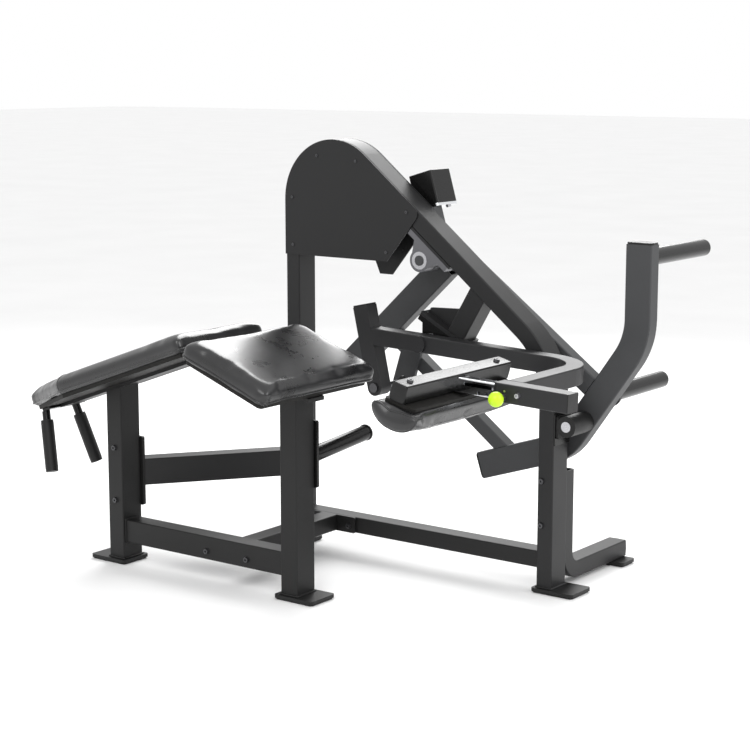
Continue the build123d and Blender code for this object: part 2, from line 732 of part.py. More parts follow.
SCREW_X, SCREW_Z, NUT_X = 560.0, 6.0, 600.0
front_face = BENCH_Y - half_tube
with BuildPart() as front_tube:
    start = on_plane(arm_plane, FRONT_START, BENCH_Y, 0)
    with BuildSketch(Plane(origin=start, x_dir=(0, 1, 0), z_dir=arm_x)):
        box_section(ARM_TUBE, ARM_TUBE)
    extrude(amount=FRONT_END - FRONT_START)
    side_holes = ((PIN_X, PIN_Z, 4.3), (SCREW_X, SCREW_Z, 3.0), (NUT_X, 0, 3.0))
    for x, z, radius in side_holes:
        drill(on_plane(arm_plane, x, front_face - 1, z), (0, 1, 0), WALL + 2, radius)
finish(front_tube, "front_tube")

with BuildPart() as slide_bushing:
    mouth = on_plane(arm_plane, FRONT_START - 6, BENCH_Y, 0)
    mouth_plane = Plane(origin=mouth, x_dir=(0, 1, 0), z_dir=arm_x)
    with BuildSketch(mouth_plane):
        RectangleRounded(ARM_TUBE, ARM_TUBE, CORNER)
    extrude(amount=6)
    with BuildSketch(mouth_plane.offset(6)):
        Rectangle(ARM_TUBE - 2 * WALL - 2, ARM_TUBE - 2 * WALL - 2)
    extrude(amount=10)
    with BuildSketch(mouth_plane):
        Rectangle(SLIDE + 0.8, SLIDE + 0.8)
    extrude(amount=16, mode=Mode.SUBTRACT)
finish(slide_bushing, "slide_bushing")

with BuildPart() as pin_barrel:
    barrel = on_plane(arm_plane, PIN_X, front_face, PIN_Z)
    rod(barrel, (0, -1, 0), 7, 11)
    drill(barrel, (0, -1, 0), 7, 4.3)
    screw = on_plane(arm_plane, SCREW_X, front_face, SCREW_Z)
    nut = on_plane(arm_plane, NUT_X, front_face, 0)
    socket_bolt(nut, (0, -1, 0), 2.8, 8, 7, 2.9)
    rod(screw + Vector(0, -1, 0), (0, 1, 0), 7, 2.9)
finish(pin_barrel, "pin_barrel")

with BuildPart() as lever_tube:
    lever_plane = Plane(
        origin=(LEVER_TOP[0], far_near_face, LEVER_TOP[1]),
        x_dir=lever_run,
        z_dir=(0, 1, 0),
    )
    lever_len = hypot(LEVER_PIN[0] - LEVER_TOP[0], LEVER_PIN[1] - LEVER_TOP[1])
    with BuildSketch(lever_plane):
        with Locations((lever_len / 2, 0)):
            Rectangle(lever_len, ARM_TUBE)
        with Locations((lever_len, 0)):
            Circle(half_tube)
    extrude(amount=ARM_TUBE)
    with BuildSketch(lever_plane.offset(WALL)):
        with Locations((lever_len / 2, 0)):
            Rectangle(lever_len, ARM_TUBE - 2 * WALL)
        with Locations((lever_len, 0)):
            Circle(half_tube - WALL)
    extrude(amount=ARM_TUBE - 2 * WALL, mode=Mode.SUBTRACT)
    drill((LEVER_PIN[0], far_near_face - 1, LEVER_PIN[1]), (0, 1, 0), ARM_TUBE + 2, PIN_R)
finish(lever_tube, "lever_tube")

with BuildPart() as roller_arm_caps:
    lever_end = Plane(origin=lever_top_point, x_dir=(0, 1, 0), z_dir=lever_run * -1)
    with BuildSketch(lever_end):
        RectangleRounded(ARM_TUBE, ARM_TUBE, CORNER)
    extrude(amount=5)
    cap_start = on_plane(arm_plane, FRONT_END, BENCH_Y, 0)
    with BuildSketch(Plane(origin=cap_start, x_dir=(0, 1, 0), z_dir=arm_x)):
        RectangleRounded(ARM_TUBE, ARM_TUBE, CORNER)
    extrude(amount=3.6)
finish(roller_arm_caps, "roller_arm_caps")

with BuildPart() as knee_shaft:
    shaft_near = far_near_face - 8
    with BuildSketch(xz_plane(KNEE_PIVOT, shaft_near)):
        Circle(SHAFT_R)
    extrude(amount=HOOP_FAR + 2 - shaft_near)
    with BuildSketch(xz_plane(KNEE_PIVOT, shaft_near)):
        Circle(24)
    extrude(amount=8)
finish(knee_shaft, "knee_shaft")

PLATE_NEAR = TRUSS_NEAR - 12.0
with BuildPart() as drive_pin:
    with BuildSketch(xz_plane(LEVER_PIN, far_near_face - 6)):
        Circle(14)
    extrude(amount=6)
    with BuildSketch(xz_plane(LEVER_PIN, far_near_face)):
        Circle(PIN_R)
    extrude(amount=TRUSS_NEAR - 1 - far_near_face)
finish(drive_pin, "drive_pin")

with BuildPart() as drive_roller:
    with BuildSketch(xz_plane(LEVER_PIN, PLATE_NEAR)):
        Circle(ROLLER_R)
        Circle(PIN_R, mode=Mode.SUBTRACT)
    extrude(amount=TRUSS_NEAR - 1 - PLATE_NEAR)
finish(drive_roller, "drive_roller")

# ------------------------------------------------------------------ roller pad carriage
carriage_x = Vector(*down_slope(CARRIAGE_TILT))
carriage_up = Vector(*up_vector(CARRIAGE_TILT))
BOARD_T = 9.0
PAD_SHIFT = 12.0
bolt_reach = BRACKET_L / 2 - 40

with BuildPart() as slide_tube:
    start = on_plane(arm_plane, 370, BENCH_Y, 0)
    with BuildSketch(Plane(origin=start, x_dir=(0, 1, 0), z_dir=arm_x)):
        box_section(SLIDE, SLIDE)
    extrude(amount=290)
    face_point = on_plane(carriage_plane, BRACKET_W / 2, 0, 0)
    cut_side(face_point, carriage_x * -1)
    slide_face = BENCH_Y - SLIDE / 2
    slot_centre = on_plane(arm_plane, 536, slide_face, SCREW_Z)
    with BuildSketch(Plane(origin=slot_centre, x_dir=arm_x, z_dir=(0, -1, 0))):
        SlotOverall(208, 9)
    extrude(amount=-WALL - 1, mode=Mode.SUBTRACT)
    for step in range(-2, 4):
        hole = on_plane(arm_plane, PIN_X - 25 * step, slide_face - 1, PIN_Z)
        drill(hole, (0, 1, 0), WALL + 2, 4.4)
finish(slide_tube, "slide_tube")

bracket_start = Plane(
    origin=on_plane(carriage_plane, 0, -BRACKET_L / 2, 0),
    x_dir=carriage_x,
    z_dir=(0, 1, 0),
)
with BuildPart() as roller_bracket:
    with BuildSketch(bracket_start):
        box_section(BRACKET_W, BRACKET_H)
    extrude(amount=BRACKET_L)
    for side in (-1, 1):
        top = on_plane(carriage_plane, 0, side * bolt_reach, BRACKET_H / 2 + 1)
        drill(top, carriage_up * -1, BRACKET_H + 2, 5.0)
finish(roller_bracket, "roller_bracket")

with BuildPart() as roller_board:
    with BuildSketch(carriage_plane.offset(-BRACKET_H / 2 - BOARD_T)):
        with Locations((PAD_SHIFT - 4, 0)):
            RectangleRounded(96, 2 * ROLLER_HALF - 60, 10)
        for side in (-1, 1):
            with Locations((0, side * bolt_reach)):
                Circle(5.0, mode=Mode.SUBTRACT)
    extrude(amount=BOARD_T)
finish(roller_board, "roller_board")

with BuildPart() as roller_pad:
    pad_top = -BRACKET_H / 2 - BOARD_T
    pad_start = Plane(
        origin=on_plane(carriage_plane, PAD_SHIFT, -ROLLER_HALF, pad_top),
        x_dir=carriage_x,
        z_dir=(0, 1, 0),
    )
    with BuildSketch(pad_start):
        with BuildLine():
            bottom = (0, ROLLER_PAD_R)
            ThreePointArc((-ROLLER_PAD_R, 0), bottom, (ROLLER_PAD_R, 0))
            Line((ROLLER_PAD_R, 0), (-ROLLER_PAD_R, 0))
        make_face()
    extrude(amount=2 * ROLLER_HALF)
finish(roller_pad, "roller_pad")

with BuildPart() as bracket_bolts:
    for side in (-1, 1):
        top = on_plane(carriage_plane, 0, side * bolt_reach, BRACKET_H / 2)
        socket_bolt(top, carriage_up, BRACKET_H + BOARD_T - 1)
finish(bracket_bolts, "bracket_bolts")

# ------------------------------------------------------------------ pull pin
KNOB_R = 20.0
knob_centre = on_plane(arm_plane, PIN_X, front_face - 28, PIN_Z)
with BuildPart() as lock_pin:
    tip = on_plane(arm_plane, PIN_X, slide_face - 0.6, PIN_Z)
    rod(tip, (0, -1, 0), 36, 4.0)
finish(lock_pin, "lock_pin")

with BuildPart() as pull_knob:
    with Locations(knob_centre):
        Sphere(KNOB_R)
    bore_start = knob_centre + Vector(0, KNOB_R + 1, 0)
    drill(bore_start, (0, -1, 0), bore_start.Y - tip.Y + 36, 4.0)
finish(pull_knob, "pull_knob")

# ------------------------------------------------------------------ weight arm
hub_axis = Vector(WEIGHT_PIVOT[0], TRUSS_Y, WEIGHT_PIVOT[1])


def cope_hub():
    """Trim the current part to the pivot hub."""
    drill((WEIGHT_PIVOT[0], TRUSS_NEAR - 1, WEIGHT_PIVOT[1]), (0, 1, 0), ARM_D + 2, HUB_R)


def segment_face(first, second, offset):
    """Point and normal of a weight arm face, offset to the left of its direction."""
    run = Vector(second[0] - first[0], 0, second[1] - first[1]).normalized()
    left = Vector(-run.Z, 0, run.X)
    return Vector(first[0], TRUSS_Y, first[1]) + left * offset, left


low_face, low_left = segment_face(ARM_PATH[0], ARM_PATH[1], ARM_W / 2)
mid_face, mid_left = segment_face(ARM_PATH[1], ARM_PATH[2], ARM_W / 2)

with BuildPart() as weight_arm_tube:
    tube_run(ARM_PATH, TRUSS_Y, ARM_D, ARM_W, ARM_RADII)
finish(weight_arm_tube, "weight_arm_tube")

DRIVE_W = 80.0
drive_foot = Vector(-191, TRUSS_Y, 570)
drive_dir = Vector(0.728, 0, 0.685).normalized()
drive_left = Vector(-drive_dir.Z, 0, drive_dir.X)
with BuildPart() as drive_beam:
    drive_end = drive_foot + drive_dir * ((hub_axis - drive_foot).dot(drive_dir))
    tube_run([(drive_foot.X, drive_foot.Z), (drive_end.X, drive_end.Z)], TRUSS_Y, ARM_D, DRIVE_W)
    cope_hub()
finish(drive_beam, "drive_beam")

tie_dir = Vector(0.804, 0, -0.595).normalized()
tie_up = Vector(0.595, 0, 0.804).normalized()
with BuildPart() as upper_tie:
    start = hub_axis + tie_up * 42
    stop = start + tie_dir * 620
    tube_run([(start.X, start.Z), (stop.X, stop.Z)], TRUSS_Y, ARM_D, 60)
    cope_hub()
    cut_side(mid_face, mid_left * -1)
finish(upper_tie, "upper_tie")

low_dir = Vector(0.799, 0, -0.602).normalized()
with BuildPart() as lower_tie:
    start = Vector(317.7, 0, 421.7) - low_dir * 460
    stop = start + low_dir * 640
    tube_run([(start.X, start.Z), (stop.X, stop.Z)], TRUSS_Y, ARM_D, 40)
    cut_side(drive_foot - drive_left * (DRIVE_W / 2), drive_left)
    cut_side(low_face, low_left * -1)
finish(lower_tie, "lower_tie")

with BuildPart() as pivot_hub:
    with BuildSketch(xz_plane(WEIGHT_PIVOT, TRUSS_NEAR)):
        Circle(HUB_R)
    extrude(amount=ARM_D)
    with BuildSketch(xz_plane(WEIGHT_PIVOT, HOOP_NEAR - 3)):
        Circle(SHAFT_R)
    extrude(amount=TRUSS_NEAR - HOOP_NEAR + 3)
finish(pivot_hub, "pivot_hub")

# Slotted plate driven by the roller arm's pin
SLOT_ANGLE, SLOT_NEAR, SLOT_END = -107.425, 397.4, 455.6
plate_dir = Vector(cos(radians(SLOT_ANGLE)), 0, sin(radians(SLOT_ANGLE)))
with BuildPart() as drive_plate:
    plate_plane = Plane(
        origin=(WEIGHT_PIVOT[0], PLATE_NEAR, WEIGHT_PIVOT[1]),
        x_dir=plate_dir,
        z_dir=(0, 1, 0),
    )
    with BuildSketch(plate_plane):
        with Locations((381, 0)):
            RectangleRounded(238, 70, 20)
        with Locations(((SLOT_NEAR + SLOT_END) / 2, 0)):
            SlotCenterToCenter(
                SLOT_END - SLOT_NEAR, 2 * (ROLLER_R + SLOT_GAP), mode=Mode.SUBTRACT
            )
    extrude(amount=TRUSS_NEAR - PLATE_NEAR)
finish(drive_plate, "drive_plate")

# Counterweight
COUNTER_TILT = -16.5
counter_up = Vector(*up_vector(COUNTER_TILT))
counter_x = Vector(counter_up.Z, 0, -counter_up.X)
COUNTER_START, COUNTER_SEAT, COUNTER_T = 28.0, 149.0, 8.0
with BuildPart() as counter_arm:
    base = hub_axis + counter_up * COUNTER_START
    head = hub_axis + counter_up * COUNTER_SEAT
    tube_run([(base.X, base.Z), (head.X, head.Z)], TRUSS_Y, ARM_D, 50)
    cope_hub()
finish(counter_arm, "counter_arm")

counter_y = (TRUSS_NEAR, 318.0)
with BuildPart() as counter_bracket:
    seat_shift = Vector(0, (counter_y[0] + counter_y[1]) / 2 - TRUSS_Y, 0)
    seat_origin = hub_axis + counter_up * COUNTER_SEAT + seat_shift
    seat = Plane(origin=seat_origin, x_dir=counter_x, z_dir=counter_up)
    with BuildSketch(seat):
        RectangleRounded(80, counter_y[1] - counter_y[0], 5)
        with Locations((-24, 26), (24, 26)):
            Circle(5.0, mode=Mode.SUBTRACT)
    extrude(amount=COUNTER_T)
finish(counter_bracket, "counter_bracket")

with BuildPart() as counterweight:
    with BuildSketch(seat.offset(COUNTER_T)):
        with Locations((0, 1)):
            RectangleRounded(84, 100, 6)
    extrude(amount=100)
    fillet(faces().sort_by(Axis.Z)[-1].edges(), 3)
    for x in (-24, 24):
        drill(seat.offset(COUNTER_T).from_local_coords(Vector(x, 26, 0)), counter_up, 30, 5.0)
finish(counterweight, "counterweight")

with BuildPart() as counter_bolts:
    for x in (-24, 24):
        socket_bolt(seat.from_local_coords(Vector(x, 26, 0)), counter_up * -1, 34)
finish(counter_bolts, "counter_bolts")

# Plate horns, bumper and caps
with BuildPart() as weight_horns:
    for x, z, length in HORNS:
        rod((x, TRUSS_FAR, z), (0, 1, 0), length - 6, HORN_R)
        rod((x, TRUSS_FAR, z), (0, 1, 0), 8, 36)
finish(weight_horns, "weight_horns")

with BuildPart() as bumper:
    with BuildSketch(xz_plane(BUMPER, HOOP_NEAR - 6)):
        Circle(BUMPER_R)
        Circle(15, mode=Mode.SUBTRACT)
    extrude(amount=TRUSS_NEAR - HOOP_NEAR + 6)
finish(bumper, "bumper")

with BuildPart() as bumper_core:
    with BuildSketch(xz_plane(BUMPER, HOOP_NEAR - 7)):
        Circle(15)
    extrude(amount=TRUSS_NEAR - HOOP_NEAR + 7)
finish(bumper_core, "bumper_core")

with BuildPart() as arm_caps:
    arm_foot = Vector(ARM_PATH[0][0], TRUSS_Y, ARM_PATH[0][1])
    arm_head = Vector(ARM_PATH[3][0], TRUSS_Y, ARM_PATH[3][1])
    caps = [
        (arm_head, Vector(0, 0, 1), ARM_W),
        (arm_foot, Vector(-low_left.Z, 0, low_left.X), ARM_W),
        (drive_foot, drive_dir * -1, DRIVE_W),
    ]
    for point, outward, width in caps:
        with BuildSketch(Plane(origin=point, x_dir=(0, 1, 0), z_dir=outward)):
            RectangleRounded(ARM_D, width, 12)
        extrude(amount=6)
    for x, z, length in HORNS:
        rod((x, TRUSS_FAR + length - 6, z), (0, 1, 0), 6, HORN_R - 0.3)
finish(arm_caps, "arm_caps")
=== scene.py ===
"""Looks of the plate-loaded lying leg curl machine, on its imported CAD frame, in metres."""
import json
import math

import bmesh
import bpy
from mathutils import Matrix, Vector, noise


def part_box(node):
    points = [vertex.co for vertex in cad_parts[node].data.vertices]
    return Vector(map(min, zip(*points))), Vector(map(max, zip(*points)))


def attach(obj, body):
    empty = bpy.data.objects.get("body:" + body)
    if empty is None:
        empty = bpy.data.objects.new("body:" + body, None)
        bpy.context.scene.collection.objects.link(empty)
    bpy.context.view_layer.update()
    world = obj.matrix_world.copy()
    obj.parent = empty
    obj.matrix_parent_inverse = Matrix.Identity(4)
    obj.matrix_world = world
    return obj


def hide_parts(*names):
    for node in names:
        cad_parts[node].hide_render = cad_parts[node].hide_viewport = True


# ------------------------------------------------------------------ driving sizes
CAMERA_PLACE = (3.203, -4.211, 1.500)
CAMERA_AZIMUTH, CAMERA_ELEVATION = 36.63, 9.78
CAMERA_LENS, CAMERA_SENSOR = 87.65, 36.0
CAMERA_REACH = 60.0
NOISE_LOW, NOISE_HIGH = 0.3, 0.7    # the band that most of a noise texture lies in
VOXEL = 0.006               # grid of a cushion's mesh
EVEN_ROUNDS, RELAX_ROUNDS = 10, 14
CLOTH_PRESSURE = 4.0
CLOTH_FRAMES = 20
CLOTH_QUALITY = 4
PAD_CAP = 0.014             # furthest that a cushion's skin may swell
PAD_INSET = 0.007           # how far inside its solid a cushion starts
PAD_SKIN = 0.006            # depth of the mounting side that is pressed flat
PAD_CROWN = 0.004           # how far a crowned top stands above its solid
LOOP_GAP = 0.006            # least distance between neighbours on a seam's path
SEAM_R, FOLD_R, ROLLER_SEAM_R = 0.0035, 0.0016, 0.0026
SEAM_SIDES = 10
SEAM_RISE = 0.010           # of a bench cushion's seam above its board
ROLLER_SEAM_INSET = 0.012   # of a roller seam from the cushion's end
BEAD_SIDES = 8              # of the thin seams and the welds
WELD_R = 0.0036
WELD_STEPS = 22             # points of a weld along each side of a tube
WELD_RIPPLE = 0.0006
WELD_WANDER = (0.9, 3.1)    # noise steps: from point to point, and from side to side
WELD_LIFT = 0.001           # of a weld's middle above the plate
POST_HALF = (0.030, 0.040)  # half sizes of tube sections
HOOP_HALF = (0.025, 0.040)
BENCH_TUBE_HALF = 0.030
LEG_HALF = (0.030, 0.025)
BRACKET_HALF = (0.0235, 0.025)
GRIP_TOP = (-0.893, 0.062, 0.446)   # ends of a grip: x, y off the grips' middle, z
GRIP_END = (-0.838, 0.095, 0.262)
RIB_START = 0.042           # from the grip's top to the first rib
RIB_SHORTER = 0.050         # how much shorter the ribbed length is than the grip
RIB_RINGS, RIB_SIDES = 96, 28       # each second ring stands out
RIB_R, RIB_RISE, RIB_EDGE_R = 0.0192, 0.0007, 0.0188
CAP_STEPS = 48
CAP_SQUARE = 0.86           # below 1, a plug's outline has rounded corners
CAP_PROFILE = ((0.0, 0.0), (0.0015, 0.0), (0.0030, 0.0012), (0.0036, 0.0035))
TORSO_TILT, THIGH_TILT, CARRIAGE_TILT = 19.5, 20.4, 15.0
TORSO_FOLD = 0.302          # of the torso cushion's length, from its head end
FLOOR_SIZE, FLOOR_DROP = 40.0, 0.0005
LAMP_AIM = (0, 0, 0.6)
LAMPS = (                   # name, place, size, power
    ("key_light", (1.2, -3.2, 3.6), 2.6, 70.0),
    ("fill_light", (3.8, 0.6, 2.6), 2.2, 50.0),
    ("back_light", (-1.3, 2.6, 2.8), 2.4, 100.0),
)

scene = bpy.context.scene


# ------------------------------------------------------------------ camera
def make_camera():
    """Three-quarter camera, from the foot end on the side away from the plates."""
    camera = bpy.data.objects.new("camera", bpy.data.cameras.new("camera"))
    scene.collection.objects.link(camera)
    camera.data.lens = CAMERA_LENS
    camera.data.sensor_width = CAMERA_SENSOR
    camera.data.clip_end = CAMERA_REACH
    camera.location = CAMERA_PLACE
    turn = (math.radians(90 - CAMERA_ELEVATION), 0.0, math.radians(CAMERA_AZIMUTH))
    camera.rotation_euler = turn
    scene.camera = camera


make_camera()
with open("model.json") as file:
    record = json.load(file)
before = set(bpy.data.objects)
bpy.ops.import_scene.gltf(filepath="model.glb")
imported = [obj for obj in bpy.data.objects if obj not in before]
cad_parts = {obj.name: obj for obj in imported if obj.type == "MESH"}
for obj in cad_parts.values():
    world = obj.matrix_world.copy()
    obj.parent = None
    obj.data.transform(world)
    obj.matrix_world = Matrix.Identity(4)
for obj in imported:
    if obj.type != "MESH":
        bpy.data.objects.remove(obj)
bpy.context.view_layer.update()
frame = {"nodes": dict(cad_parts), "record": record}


# ------------------------------------------------------------------ materials
def new_material(name):
    """Empty principled material: its nodes, its links and its shader."""
    material = bpy.data.materials.new(name)
    material.use_nodes = True
    nodes, links = material.node_tree.nodes, material.node_tree.links
    return material, nodes, links, nodes["Principled BSDF"]


def noise_node(nodes, links, scale, detail=4.0, roughness=0.55, stretch=(1, 1, 1)):
    """Noise on object coordinates, which are the row frame's metres."""
    coords = nodes.new("ShaderNodeTexCoord")
    mapping = nodes.new("ShaderNodeMapping")
    mapping.inputs["Scale"].default_value = stretch
    links.new(coords.outputs["Object"], mapping.inputs["Vector"])
    texture = nodes.new("ShaderNodeTexNoise")
    texture.inputs["Scale"].default_value = scale
    texture.inputs["Detail"].default_value = detail
    texture.inputs["Roughness"].default_value = roughness
    links.new(mapping.outputs["Vector"], texture.inputs["Vector"])
    return texture


def tint(nodes, links, shader, source, low, high):
    """Base colour that goes from low to high with a noise source."""
    node = nodes.new("ShaderNodeValToRGB")
    node.color_ramp.elements[0].position = NOISE_LOW
    node.color_ramp.elements[1].position = NOISE_HIGH
    node.color_ramp.elements[0].color = (*low, 1.0)
    node.color_ramp.elements[1].color = (*high, 1.0)
    links.new(source, node.inputs["Fac"])
    links.new(node.outputs["Color"], shader.inputs["Base Color"])


def dull(nodes, links, shader, source, low, high):
    """Roughness that goes from low to high with a noise source."""
    node = nodes.new("ShaderNodeMapRange")
    node.inputs["From Min"].default_value = NOISE_LOW
    node.inputs["From Max"].default_value = NOISE_HIGH
    node.inputs["To Min"].default_value = low
    node.inputs["To Max"].default_value = high
    links.new(source, node.inputs["Value"])
    links.new(node.outputs["Result"], shader.inputs["Roughness"])


def bump(nodes, links, shader, source, strength, distance):
    """Bump from a height source, on top of any bump the shader has."""
    node = nodes.new("ShaderNodeBump")
    node.inputs["Strength"].default_value = strength
    node.inputs["Distance"].default_value = distance
    links.new(source, node.inputs["Height"])
    if shader.inputs["Normal"].is_linked:
        links.new(shader.inputs["Normal"].links[0].from_socket, node.inputs["Normal"])
    links.new(node.outputs["Normal"], shader.inputs["Normal"])


def shade(colour, factor):
    """Colour made darker or lighter by a factor."""
    return tuple(min(1.0, c * factor) for c in colour)


def powder_coat(name, colour, roughness):
    """Powder-coated steel: an orange-peel skin with faint mottling and dull patches."""
    material, nodes, links, shader = new_material(name)
    mottle = noise_node(nodes, links, 4.0, 6.0)
    tint(nodes, links, shader, mottle.outputs["Fac"], shade(colour, 0.94), shade(colour, 1.06))
    dull(nodes, links, shader, mottle.outputs["Fac"], roughness - 0.03, roughness + 0.04)
    shader.inputs["Specular IOR Level"].default_value = 0.30
    peel = noise_node(nodes, links, 420.0, 2.0)
    bump(nodes, links, shader, peel.outputs["Fac"], 0.20, 0.0004)
    return material


def vinyl():
    """Glossy black upholstery vinyl with a pebbled grain and soft creases."""
    material, nodes, links, shader = new_material("vinyl_black")
    mottle = noise_node(nodes, links, 14.0)
    dark, light = (0.004, 0.004, 0.0045), (0.009, 0.009, 0.010)
    tint(nodes, links, shader, mottle.outputs["Fac"], dark, light)
    dull(nodes, links, shader, mottle.outputs["Fac"], 0.24, 0.36)
    shader.inputs["Coat Weight"].default_value = 0.35
    shader.inputs["Coat Roughness"].default_value = 0.18
    coords = nodes.new("ShaderNodeTexCoord")
    grain = nodes.new("ShaderNodeTexVoronoi")
    grain.feature = "DISTANCE_TO_EDGE"
    grain.inputs["Scale"].default_value = 520.0
    links.new(coords.outputs["Object"], grain.inputs["Vector"])
    bump(nodes, links, shader, grain.outputs["Distance"], 0.10, 0.0003)
    crease = noise_node(nodes, links, 11.0, 3.0)
    bump(nodes, links, shader, crease.outputs["Fac"], 0.08, 0.004)
    return material


def moulded(name, colour, roughness, scale, strength):
    """Moulded rubber or plastic with a fine matte texture."""
    material, nodes, links, shader = new_material(name)
    mottle = noise_node(nodes, links, 25.0)
    tint(nodes, links, shader, mottle.outputs["Fac"], shade(colour, 0.8), shade(colour, 1.25))
    dull(nodes, links, shader, mottle.outputs["Fac"], roughness - 0.06, roughness + 0.08)
    shader.inputs["Specular IOR Level"].default_value = 0.35
    pebble = noise_node(nodes, links, scale, 3.0)
    bump(nodes, links, shader, pebble.outputs["Fac"], strength, 0.0006)
    return material


def bare_metal(name, colour, roughness, scratch, stretch=(1, 1, 1)):
    """Bare or plated metal with fine drawn marks."""
    material, nodes, links, shader = new_material(name)
    shader.inputs["Metallic"].default_value = 1.0
    marks = noise_node(nodes, links, 180.0, 5.0, 0.6, stretch)
    tint(nodes, links, shader, marks.outputs["Fac"], shade(colour, 0.94), shade(colour, 1.05))
    dull(nodes, links, shader, marks.outputs["Fac"], roughness * 0.85, roughness * 1.2)
    bump(nodes, links, shader, marks.outputs["Fac"], scratch, 0.0004)
    return material


def plywood():
    """Black-stained plywood: streaks of grain along the bench."""
    material, nodes, links, shader = new_material("board_black")
    grain = noise_node(nodes, links, 30.0, 6.0, 0.7, (1.0, 12.0, 12.0))
    tint(nodes, links, shader, grain.outputs["Fac"], (0.004, 0.004, 0.003), (0.014, 0.013, 0.012))
    shader.inputs["Roughness"].default_value = 0.62
    shader.inputs["Specular IOR Level"].default_value = 0.25
    bump(nodes, links, shader, grain.outputs["Fac"], 0.4, 0.0008)
    return material


materials = {
    "post_paint": powder_coat("post_paint_coat", (0.010, 0.010, 0.010), 0.45),
    "hoop_paint": powder_coat("hoop_paint_coat", (0.014, 0.014, 0.0145), 0.42),
    "arm_paint": powder_coat("arm_paint_coat", (0.017, 0.017, 0.018), 0.42),
    "truss_paint": powder_coat("truss_paint_coat", (0.048, 0.049, 0.051), 0.45),
    "black_paint": powder_coat("black_paint_coat", (0.005, 0.005, 0.005), 0.22),
    "vinyl": vinyl(),
    "board": plywood(),
    "rubber": moulded("rubber_black", (0.007, 0.007, 0.007), 0.50, 300.0, 0.5),
    "plastic": moulded("plastic_black", (0.006, 0.006, 0.006), 0.40, 500.0, 0.25),
    "chrome": bare_metal("chrome_plate", (0.78, 0.79, 0.81), 0.10, 0.04, (0.3, 3.0, 3.0)),
    "steel": bare_metal("steel_zinc", (0.50, 0.50, 0.52), 0.26, 0.03),
    "cast": bare_metal("cast_silver", (0.17, 0.17, 0.18), 0.42, 0.25),
    "knob": moulded("knob_lime", (0.50, 0.78, 0.02), 0.28, 350.0, 0.1),
    "black_bolt": bare_metal("bolt_black_oxide", (0.10, 0.10, 0.105), 0.35, 0.15),
}
OWN_FINISH = {              # nodes that look other than their record slot
    "frame_bolts": "black_bolt",
    "cover_screws": "black_bolt",
    "bracket_bolts": "black_bolt",
    "drive_pin": "black_bolt",
    "knee_shaft": "arm_paint",
    "pivot_hub": "truss_paint",
}


def dress_frame():
    """Give every CAD node the material of its record slot, or its own finish."""
    for entry in frame["record"]["subparts"]:
        node = frame["nodes"][entry["node"]]
        node.data.materials.clear()
        finish = OWN_FINISH.get(entry["node"], entry["material_slot"])
        node.data.materials.append(materials[finish])


# ------------------------------------------------------------------ mesh helpers
def add_mesh(name, mesh, body, slot):
    """New piece from a bmesh, with a material slot, riding on a body."""
    data = bpy.data.meshes.new(name)
    mesh.to_mesh(data)
    mesh.free()
    for polygon in data.polygons:
        polygon.use_smooth = True
    piece = bpy.data.objects.new(name, data)
    scene.collection.objects.link(piece)
    data.materials.append(materials[slot])
    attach(piece, body)
    return piece


def round_ring(mesh, centre, side, other, radius, steps):
    """Ring of points about a centre, in the plane of two directions."""
    ring = []
    for step in range(steps):
        angle = 2 * math.pi * step / steps
        offset = side * math.cos(angle) + other * math.sin(angle)
        ring.append(mesh.verts.new(centre + offset * radius))
    return ring


def skin_rings(mesh, rings, looped=False):
    """Faces from ring to ring: back to the first one, or with a lid at each end."""
    following = rings[1:] + rings[:1] if looped else rings[1:]
    for first, second in zip(rings, following):
        for step in range(len(first)):
            after = (step + 1) % len(first)
            mesh.faces.new((first[step], first[after], second[after], second[step]))
    if not looped:
        mesh.faces.new(list(reversed(rings[0])))
        mesh.faces.new(rings[-1])
    bmesh.ops.recalc_face_normals(mesh, faces=mesh.faces)


def loop_tube(name, points, radius, body, slot, sides=BEAD_SIDES):
    """Round bead along a closed loop of points."""
    mesh = bmesh.new()
    rings = []
    side = None
    for index, point in enumerate(points):
        after = points[(index + 1) % len(points)]
        along = (after - points[index - 1]).normalized()
        side = along.orthogonal() if side is None else side - along * side.dot(along)
        side.normalize()
        rings.append(round_ring(mesh, point, side, along.cross(side), radius, sides))
    skin_rings(mesh, rings, looped=True)
    return add_mesh(name, mesh, body, slot)


# ------------------------------------------------------------------ cushions
def pad_axes(tilt):
    """A pad's directions: along the bench, across it, and up from its face."""
    angle = math.radians(tilt)
    along = Vector((math.cos(angle), 0.0, -math.sin(angle)))
    return along, Vector((0, 1, 0)), Vector((math.sin(angle), 0.0, math.cos(angle)))


def pad_frame(tilt):
    """Rotation from a pad's own directions to the row frame."""
    return Matrix(pad_axes(tilt)).transposed()


def extent(piece):
    """Lowest and highest corner of a mesh, in its own directions."""
    points = [v.co for v in piece.data.vertices]
    low = Vector([min(p[i] for p in points) for i in range(3)])
    high = Vector([max(p[i] for p in points) for i in range(3)])
    return low, high


